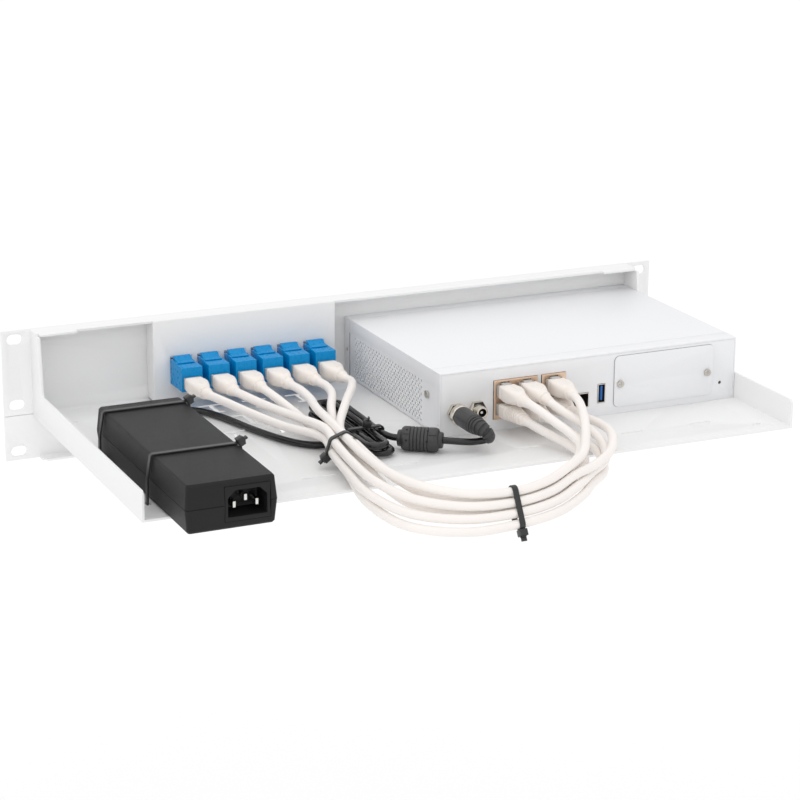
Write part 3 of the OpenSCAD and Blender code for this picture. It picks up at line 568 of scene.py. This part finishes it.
def moulded_plug(shape, line, latch, ribs):
    """A plug's clear nose and its boot along line, from the jack's face.

    The latch is above (1), below (-1) or hidden in the jack (0)."""
    start, ahead = line[0], (line[1] - line[0]).normalized()
    x = start.x
    y0, y1 = sorted((start.y - ahead.y * 10.5, start.y + ahead.y * 2.2))
    shape.add(box((x - 5.8, x + 5.8), (y0, y1), (start.z - 3.8, start.z + 3.8), 0.4), CLEAR)
    if latch:
        z = start.z + latch * 4.4
        shape.add(box((x - 3, x + 3), (y0 + 0.6, y1 + 1.6), (z - 0.5, z + 0.6), 0.3), CLEAR)
    tip = start.y - ahead.y * 9.8
    for k in range(CONTACTS):
        cx = x + CONTACT_PITCH * (k - (CONTACTS - 1) / 2)
        blade = box((cx - 0.18, cx + 0.18), (tip - 1.8, tip + 1.8), (start.z - 3.95, start.z - 3.5), 0.05, 1)
        shape.add(blade, GOLD)
    shape.add(loft(line, ribbed_boot() if ribs else BOOT), PLUG)
    if not ribs:
        add_ridges(shape, line)


# The cable whose boot at the appliance has ribs
RIBBED_CABLE = 4


def add_cables():
    for i in CABLES:
        line = cable_line(i)
        cord = cord_curve(f"cable_{i + 1}", line, CABLE_D, CABLE)
        finish_piece(cord, ROOT, (f"patch_cable_{i + 1}",))
        plugs = Shape()
        front = [Vector((COUPLER_X[i], COUPLER_Y1 + 0.3 + k, SOCKET_Z)) for k in range(0, 16, 2)] + line
        moulded_plug(plugs, front, 0, False)
        end = jack_end(i)
        rear = [Vector((end[0], CASE_Y1 + 1 + k, end[2])) for k in range(0, 22, 2)] + line[::-1]
        moulded_plug(plugs, rear, 1 if JACK_OF[i][1] else -1, i == RIBBED_CABLE)
        ob = plugs.piece(f"plugs_{i + 1}", ROOT, (f"patch_plugs_{i + 1}",))


# The run from the brick, and below it the run through the ferrite core to the plug
BRICK_X = 179.5
LEAD_OUT = (BRICK_X, 76, 44)
LEAD_1 = [
    LEAD_OUT, (179, 64, 43), (174, 51, 40), (163, 41, 36), (149, 36, 33.5), (134, 37, 33), (122, 46, 33),
    (115, 60, 33), (110, 76, 33), (106, 91, 33), (101.5, 105, 33), (96.5, 118, 33), (90.5, 130, 33),
    (83, 138.5, 33), (73.5, 142, 33), (65.5, 139.5, 33.8), (61.6, 131, 34.15),
]
FERRITE_A, FERRITE_B = Vector((33.5, 163, 38.5)), Vector((9.8, 179.2, 38.5))
LEAD_2 = [
    (39.8, 138, 39.4), (39.6, 147, 39.3), (38.7, 154, 38.8), (36.5, 159.5, 38.5), FERRITE_A,
    (25.5, 168.4, 38.5), (17.6, 173.8, 38.5), FERRITE_B, (4, 182.4, 38.2), (-2, 184.3, 37.5),
    (-8, 185.3, 37), (-12.8, 186.2, 37.2), (-16, 188, 38.2), (-17, 190, 39.8),
]
# The hank's middle, the ends of its folds and the heights of its two layers
HANK_X, HANK_FAR, HANK_NEAR = 50, 90, 169
LOW, HIGH = 34.15, 39.6
HANK_TIE_Y = 148
# The turns in the order of the lead: half width at the far end and at the near end, height
HANK_TURNS = [(10.9, 8.6, LOW), (5.9, 4.2, LOW), (5.9, 4.2, HIGH), (10.9, 8.6, HIGH)]
# How far each far end and each near end lies past the first one
FAR_SHIFT = (0, 2.5, -1.5, 1)
NEAR_SHIFT = (0, -5.5, 1.2)


def hank_turns():
    """The folded lead between its two runs: a far fold, a near fold, and so on."""
    out = []
    for k, (far, near, z) in enumerate(HANK_TURNS):
        y = HANK_FAR + FAR_SHIFT[k]
        out += [(HANK_X + far * 0.98, y + 26, z), (HANK_X + far, y + 10, z)]
        out += [(HANK_X + far * math.cos(a), y - far * math.sin(a), z)
                for a in [math.radians(v) for v in range(0, 181, 30)]]
        out += [(HANK_X - far, y + 10, z), (HANK_X - far * 0.98, y + 26, z)]
        if k == len(NEAR_SHIFT):
            break
        _, turn_out, z_out = HANK_TURNS[k + 1]
        y = HANK_NEAR + NEAR_SHIFT[k]
        mid, r = (turn_out - near) / 2, (near + turn_out) / 2
        out += [(HANK_X - near - 1.2, 138, z), (HANK_X - near - 0.3, y - 12, z)]
        out += [(HANK_X + mid - r * math.cos(a), y + r * math.sin(a), z + (z_out - z) * f)
                for a, f in [(math.radians(v), v / 180) for v in range(0, 181, 36)]]
        out += [(HANK_X + turn_out + 0.3, y - 12, z_out), (HANK_X + turn_out + 1.2, 138, z_out)]
    return out


def add_lead():
    line = catmull(LEAD_1 + hank_turns() + LEAD_2, 6)
    lead = cord_curve("dc_lead", line, LEAD_D, LEAD)
    finish_piece(lead, ROOT, ("dc_lead_run_1", "dc_lead_hank", "dc_lead_run_2"))
    return lead, line


FERRITE_R = 7.75
FERRITE_GROOVES = 6


def ferrite():
    shape = Shape()
    ahead = (FERRITE_B - FERRITE_A).normalized()
    whole = (FERRITE_B - FERRITE_A).length
    r = FERRITE_R
    profile = [(0, 3.0), (0, 4.6), (0.3, 5.1), (2.2, 5.4), (2.5, 5.7), (2.8, 6.7), (3.7, 7.5), (4.8, r)]
    for k in range(FERRITE_GROOVES):
        s = whole / 2 - 5.6 + 2.25 * k - 0.3
        profile += [(s - 0.42, r), (s - 0.2, r - 0.15), (s, r - 0.62), (s + 0.2, r - 0.15), (s + 0.42, r)]
    profile += [(whole - q, s) for q, s in reversed(profile[:8])]
    shape.add(lathe(profile, FERRITE_A, ahead, 48), RUBBER)
    side, up = square_to(ahead)
    # Split line of the two moulded halves, and the pits beside it
    for angle in (38, 218):
        out = side * math.cos(math.radians(angle)) + up * math.sin(math.radians(angle))
        for lo, hi in ((4.2, 8.0), (whole - 8.4, whole - 3.2)):
            ridge = [FERRITE_A + ahead * s + out * (r - 0.02) for s in (lo, (lo + hi) / 2, hi)]
            shape.add(band(ridge, out, 0.5, 0.35, closed=False), INLET)
    for angle in (8, 62, 188, 242):
        out = side * math.cos(math.radians(angle)) + up * math.sin(math.radians(angle))
        for s in (6.4, whole - 9.2):
            pit = FERRITE_A + ahead * s + out * (r - 0.12)
            shape.add(lathe([(0, 0.75), (0.15, 0.72), (0.2, 0.5)], pit, out, 16), INLET)
    return shape.piece("ferrite_core", ROOT, ("ferrite_shell",))


DC_JACK_X = (-11.7, -26.7)
DC_JACK_Z = 46.5
# Points round the locking ring and round the grip, and ribs on the bend relief
DC_PLUG_TEETH = 96
GRIP_FLUTES = 72
BEND_RIBS = 6


def fluted(rings, centre, count, every, beyond, depth):
    """A skin over rings of count points, pressed in by depth beyond a radius where every(k) holds."""
    body = skin(rings)
    for v in body.verts:
        flat = Vector((v.co.x - centre[0], 0, v.co.z - centre[1]))
        if flat.length > beyond and every(round(math.atan2(flat.z, flat.x) / (2 * math.pi / count))):
            v.co -= flat.normalized() * depth
    return body


def dc_plug():
    x, z = DC_JACK_X[0], DC_JACK_Z
    shape = Shape()
    shape.add(lathe([(0, 1.4), (0, 2.55), (7.8, 2.6)], (x, 154.4, z)), NICKEL)
    ring = [[(x + a, 157.8 + s, z + b) for a, b in circle(r, DC_PLUG_TEETH)] for s, r in
            ((0, 6.2), (0.25, 6.75), (3.6, 6.8), (4.0, 6.5), (4.4, 5.6))]
    shape.add(fluted(ring, (x, z), DC_PLUG_TEETH, lambda k: k % 2, 6.4, 0.22), NICKEL)
    grip = [[(x + a * r, 161.4 + s, z + b * r) for a, b in circle(1, GRIP_FLUTES)] for s, r in
            ((0, 5.4), (0.3, 6.1), (0.9, 6.4), (17.5, 6.4), (18.4, 6.25), (18.7, 5.8), (19.3, 5.8))]
    shape.add(fluted(grip, (x, z), GRIP_FLUTES, lambda k: k % 3 == 0, 6.2, 0.2), RUBBER)
    # Ribbed relief, bending down and to the side to meet the lead
    spine = catmull([(x, 180, z), (x, 183.8, z), (x - 0.5, 188, z - 0.2), (x - 2.3, 191, z - 1.9),
                     (x - 4.3, 191.8, z - 4.2), (x - 5.3, 190.6, z - 6.4), (x - 5.0, 188.4, z - 8.0)], 8)
    run = lengths(spine)
    sections = [(0.2, 5.7, 5.7, 2)]
    for k in range(BEND_RIBS):
        s, r = 0.9 + 2.35 * k, 6.15 - 0.38 * k
        sections += [(s, r - 0.9, r - 0.9, 2), (s + 0.25, r, r, 2), (s + 1.45, r - 0.08, r - 0.08, 2),
                     (s + 1.7, r - 1, r - 1, 2)]
    last_rib = sections[-1][0]
    for k in range(1, 9):
        r = 3.9 - 0.12 * k
        sections.append((last_rib + (run[-1] - last_rib) * k / 8, r, r, 2))
    shape.add(loft(spine, sections), RUBBER)
    return shape.piece("dc_plug_body", ROOT, ("dc_plug",))


# ---------------------------------------------------------------- cable ties
TIE_W = 3.6
TIE_T = 1.1
BRICK_TIE_Y = (105, 195)
# A brick tie's outline as (x, z) corners about the brick's middle, and the corners' radii
BRICK_HOOP = [(-30.7, 28), (30.7, 28), (30.4, 46), (27.9, 60.7), (-27.9, 60.7), (-30.4, 46)]
BRICK_HOOP_R = [0.8, 0.8, 8, 1.6, 1.6, 8]
HANK_HOOP = [(-12.8, 31.1), (12.8, 31.1), (12.8, 42.9), (-12.8, 42.9)]


def turned(x=0, y=0, z=0):
    """A turn about x, then y, then z, in degrees."""
    about_x, about_y, about_z = (Matrix.Rotation(math.radians(angle), 3, axis)
                                 for angle, axis in ((x, "X"), (y, "Y"), (z, "Z")))
    return about_z @ about_y @ about_x


def tie_head(shape, place, turn, tail=3.0):
    """A tie's moulded head and the cut end of its band, in a frame turned by the matrix turn."""
    head = Shape()
    head.add(box((-2.7, 2.7), (-2.5, 2.5), (-2.0, 2.2), 0.45), TIE)
    head.add(box((-1.9, 1.9), (-1.4, 1.4), (2.1, 2.8), 0.25), TIE)
    head.add(box((-0.6, 0.6), (-1.75, 1.75), (2.2, 2.2 + tail), 0.2), TIE)
    shape.add(head.bm, TIE, Matrix.Translation(place) @ turn.to_4x4())


def hugging_tie(name, node, centre, ahead, lines, head_side, head_turn):
    """A band drawn tight round the cords that cross the upright plane through centre."""
    centre, ahead, up = Vector(centre), Vector(ahead).normalized(), Vector((0, 0, 1))
    across = ahead.cross(up)
    rim = []
    for line in lines:
        near = min(range(len(line) - 1), key=lambda k: (line[k] - centre).length)
        k = near - 1 if near and (line[near] - centre).dot(ahead) > 0 else near
        step = line[k + 1] - line[k]
        p = line[k] + step * ((centre - line[k]).dot(ahead) / step.dot(ahead)) - centre
        rim += [(p.dot(across) + a, p.dot(up) + b) for a, b in circle(CABLE_D / 2 + 0.45, 20)]
    path = [centre + across * rim[k][0] + up * rim[k][1] for k in geometry.convex_hull_2d(rim)]
    shape = Shape()
    shape.add(band(path, ahead, TIE_W, TIE_T), TIE)
    out = across * head_side[0] + up * head_side[1]
    seat = max(path, key=lambda p: (p - centre).dot(out))
    tie_head(shape, seat + out.normalized() * 2.1, head_turn)
    shape.piece(name, ROOT, (node,))


def hooped(shape, x, y, corners, radii):
    """A band in the upright plane at y, round an outline of (x, z) corners about x."""
    path = [(x + a, y, b) for a, b in rounded_loop(corners, radii)]
    shape.add(band(path, (0, 1, 0), TIE_W, TIE_T), TIE)


def add_ties():
    """The bundle's ties, the brick's and the hank's. Returns the last, which goes with the lead."""
    lines = [cable_line(i) for i in CABLES]
    hugging_tie("tie_1", "bundle_tie_1", (78.6, 180, 43.4), (0.09, 1, 0), lines,
                (0.75, -0.65), turned(y=131, z=-5))
    hugging_tie("tie_2", "bundle_tie_2", (17, 291.8, 33), (-1, 0, 0), lines,
                (0.5, -0.86), turned(x=-149) @ turned(z=90))
    # Round the brick, down through the tray's slots
    pair = Shape()
    for y in BRICK_TIE_Y:
        hooped(pair, BRICK_X, y, BRICK_HOOP, BRICK_HOOP_R)
        tie_head(pair, Vector((BRICK_X - 28.2, y, 61.6)), turned(y=-62), 2.6)
    pair.piece("brick_tie_pair", ROOT, ("brick_ties",))
    hank = Shape()
    hooped(hank, HANK_X, HANK_TIE_Y, HANK_HOOP, [2.5] * 4)
    tie_head(hank, Vector((HANK_X - 2, HANK_TIE_Y, 45)), turned(y=-15, z=-20), 2.4)
    return hank.piece("hank_band", ROOT, ("hank_tie",))


def hold_cords():
    add_cables()
    lead, line = add_lead()
    core, plug, tie = ferrite(), dc_plug(), add_ties()


# ---------------------------------------------------------------- finishes on the CAD's own shapes
FAR = 1000


def paint(ob, mat, x=(-FAR, FAR), y=(-FAR, FAR), z=(-FAR, FAR), about=None):
    """A second finish on the faces whose centres lie within the spans and, if about is given as
    (x, z, radius), within that radius of an axis along y. All in millimetres."""
    ob.data.materials.append(mat)
    back = TO_ROW.inverted()
    for face in ob.data.polygons:
        c = back @ face.center
        inside = all(lo < v < hi for v, (lo, hi) in zip(c, (x, y, z)))
        if inside and (about is None or math.hypot(c.x - about[0], c.z - about[1]) < about[2]):
            face.material_index = len(ob.data.materials) - 1


def dress(node, mat):
    """A CAD node that stays as it is gets its finish."""
    for slot in nodes[node].material_slots:
        slot.material = mat


# ---------------------------------------------------------------- rack kit and couplers
def rack_kit():
    for node in ("front_panel", "blank_panel", "tray", "coupler_plate"):
        softened(node, f"{node}_sheet", POWDER, 0.4)
    softened("tray_screws", "tray_screw_heads", STEEL, 0.12)


COUPLER_TOP = 60.4
LATCH_HALF_W = 5.85
# The latch arm's side, (y, height above the coupler's top)
LATCH_ARM = [
    (14.95, 0.35), (14.95, 2.2), (15.35, 3.0), (16.2, 3.3), (17.3, 3.2), (18.4, 2.7), (19.6, 1.85),
    (20.6, 1.2), (21.6, 0.95), (25.75, 0.85), (25.75, 0.15), (21.6, 0.1), (20.4, -0.6), (18.4, -0.9),
    (17.2, -0.4), (16.6, 0.35),
]


def couplers():
    for i, x in enumerate(COUPLER_X, 1):
        body = softened(f"coupler_{i}", f"keystone_{i}", BLUE, 0.35, 3)
        # Painted shade on the faces of the pocket under the arm, then the contacts between the two sockets
        paint(body, BLACK_AND_SHADE, (x - 6.15, x + 6.15), (10.4, 24.9), (COUPLER_TOP - 2.1, COUPLER_TOP - 0.3))
        paint(body, GOLD, (x - 4.6, x + 4.6), (21.5, 23.9), (47.9, 51.5))
        side = [(y, COUPLER_TOP + rise) for y, rise in LATCH_ARM]
        arm = Shape()
        arm.add(prism(side, x - LATCH_HALF_W, x + LATCH_HALF_W, 0.25, 3), BLUE)
        arm.piece(f"latch_arm_{i}", f"latch_{i}", (f"coupler_latch_{i}",))


# ---------------------------------------------------------------- appliance
# The bay cover's outline and corners
BAY_X = (-202.5, -127.1)
BAY_Z = (35.3, 70.1)
BAY_R = 3.6


def case_inside(margin, back):
    """The spans of the case's inside, short of its side walls and its rear wall."""
    return (CASE_X[0] + margin, CASE_X[1] - margin), CASE_Y1 - back


def appliance():
    groove = box((CASE_X[0] - 1, CASE_X[1] + 1), (138.7, 139.1), (72.65, 73.2), 0)
    lid = softened("top_cover", "case_lid", CASE, 0.45, 3, groove)
    # Inner faces of the lid, base and front: bare zinc, darkened as painted shade
    across, back = case_inside(1.6, 1.6)
    paint(lid, ZINC_AND_SHADE, across, (1.5, back), (-FAR, 72))
    base = softened("chassis_base", "case_base", CASE, 0.3)
    across, back = case_inside(1.5, 0.9)
    paint(base, ZINC_AND_SHADE, across, (-FAR, back), (30.9, 71))
    front = softened("front_bezel", "case_front", CASE, 0.5, 3)
    paint(front, ZINC_AND_SHADE, across, (2.5, FAR), (32, 71.3))
    dress("side_vents", CASE)
    dress("status_lens", LENS)
    dress("main_board", BOARD)
    dress("heat_sink", ALU)
    softened("bay_cover", "bay_lid", CASE, 0.3)
    corners = [(BAY_X[0], BAY_Z[0]), (BAY_X[1], BAY_Z[0]), (BAY_X[1], BAY_Z[1]), (BAY_X[0], BAY_Z[1])]
    # A dark ring round the bay cover: painted shadow standing in for the shade at the cover's edge
    shadow_ring = Shape()
    edge = [(a, CASE_Y1 + 0.1, b) for a, b in rounded_loop(corners, [BAY_R] * 4)]
    shadow_ring.add(band(edge, (0, 1, 0), 0.5, 0.35), PAINTED_SEAM_SHADOW)
    shadow_ring.piece("bay_painted_shadow_ring", ROOT)
    softened("bay_screws", "bay_screw_heads", STEEL, 0.12)
    softened("case_screws", "case_screw_heads", STEEL, 0.12)
    softened("reset_button", "reset_pin", RUBBER, 0.2)


def rear_ports():
    for node in ("lan_jacks", "wan_jacks"):
        jack = softened(node, f"{node}_shell", SHIELD, 0.15)
        paint(jack, BLACK_AND_SHADE, y=(140.5, CASE_Y1 - 0.4), z=(40, 63))
    cage = softened("sfp_cage", "sfp_shell", NICKEL, 0.12)
    # Painted shade on the inner walls of the cage
    paint(cage, BLACK_AND_SHADE, (-108.1, -94.6), (-FAR, CASE_Y1 - 1), (38.3, 47.4))
    usb = softened("usb_port", "usb_shell", NICKEL, 0.12)
    # Painted shade inside the USB shell, round the tongue
    paint(usb, BLACK_AND_SHADE, (-120.4, -115.6), (137.9, CASE_Y1 - 0.6), (39.9, 52.1))
    paint(usb, TONGUE, (-119.3, -117.5), (137.9, CASE_Y1 - 0.4), (40.9, 51.1))
    dc = softened("dc_jacks", "dc_sockets", NICKEL, 0.15)
    for x in DC_JACK_X:
        paint(dc, BLACK_AND_SHADE, y=(152.6, 160), about=(x, DC_JACK_Z, 2.8))
        paint(dc, PIN, y=(153, 161), about=(x, DC_JACK_Z, 1.0))


# ---------------------------------------------------------------- power brick
INLET_X = 169.8
INLET_Z = 45.6
INLET_PINS = ((-7, -1.8), (0, 1.8), (7, -1.8))
RELIEF_RIBS = 5


def brick():
    for node in ("brick_top_shell", "brick_bottom_shell"):
        softened(node, f"{node}_case", BRICK, 0.5, 3)
    inlet = softened("mains_inlet", "inlet_frame", INLET, 0.35)
    for dx, dz in INLET_PINS:
        x, z = INLET_X + dx, INLET_Z + dz
        paint(inlet, PIN, (x - 1.05, x + 1.05), (238.6, 251.6), (z - 2.1, z + 2.1))
    dress("brick_board", BOARD)
    relief = [(0, 2.6), (0.3, 3.0)]
    for k in range(RELIEF_RIBS):
        s, r = 1.0 + 2.4 * k, 3.3 + 0.32 * k
        relief += [(s, r - 0.7), (s + 0.2, r), (s + 1.4, r + 0.05), (s + 1.6, r - 0.6)]
    relief += [(13.0, 4.2), (13.3, 5.1), (14.6, 5.2), (14.9, 4.0), (20, 4.0)]
    shape = Shape()
    shape.add(lathe(relief, LEAD_OUT), RUBBER)
    shape.piece("lead_relief", ROOT, ("brick_grommet",))


# ---------------------------------------------------------------- stage and light
FLOOR_Z = -0.8
FLOOR_HALF = 80


def stage():
    bm = bmesh.new()
    bmesh.ops.create_grid(bm, x_segments=1, y_segments=1, size=FLOOR_HALF)
    me = bpy.data.meshes.new("floor")
    bm.to_mesh(me)
    bm.free()
    floor = bpy.data.objects.new("floor", me)
    floor.location = (0, 0, FLOOR_Z)
    me.materials.append(FLOOR)
    # Painted light: the floor glows, more strongly the farther it lies from the object
    nt = FLOOR.node_tree
    coords = nt.nodes.new("ShaderNodeTexCoord")
    reach = nt.nodes.new("ShaderNodeVectorMath")
    reach.operation = "LENGTH"
    painted_glow = nt.nodes.new("ShaderNodeMapRange")
    for key, value in (("From Min", 0.5), ("From Max", 2.0), ("To Min", 0.02), ("To Max", 0.12)):
        painted_glow.inputs[key].default_value = value
    link(nt, coords.outputs["Object"], reach.inputs[0])
    link(nt, reach.outputs["Value"], painted_glow.inputs["Value"])
    link(nt, painted_glow.outputs["Result"], nt.nodes["Principled BSDF"].inputs["Emission Strength"])
    bpy.context.scene.collection.objects.link(floor)
    world = bpy.data.worlds.new("studio")
    bpy.context.scene.world = world
    world.use_nodes = True
    sky = world.node_tree.nodes["Background"]
    sky.inputs["Color"].default_value = (1, 1, 1, 1)
    sky.inputs["Strength"].default_value = 0.96
    area_light("overhead", (0.1, 0.3, 1.8), (1.6, 1.6), 4.5)
    area_light("side_fill", (1.6, 0.9, 0.7), (1.0, 0.9), 2)
    area_light("rear_fill", (0.4, 1.9, 0.8), (1.0, 0.8), 1.2)


hold_cords()
rack_kit()
couplers()
appliance()
rear_ports()
brick()
stage()
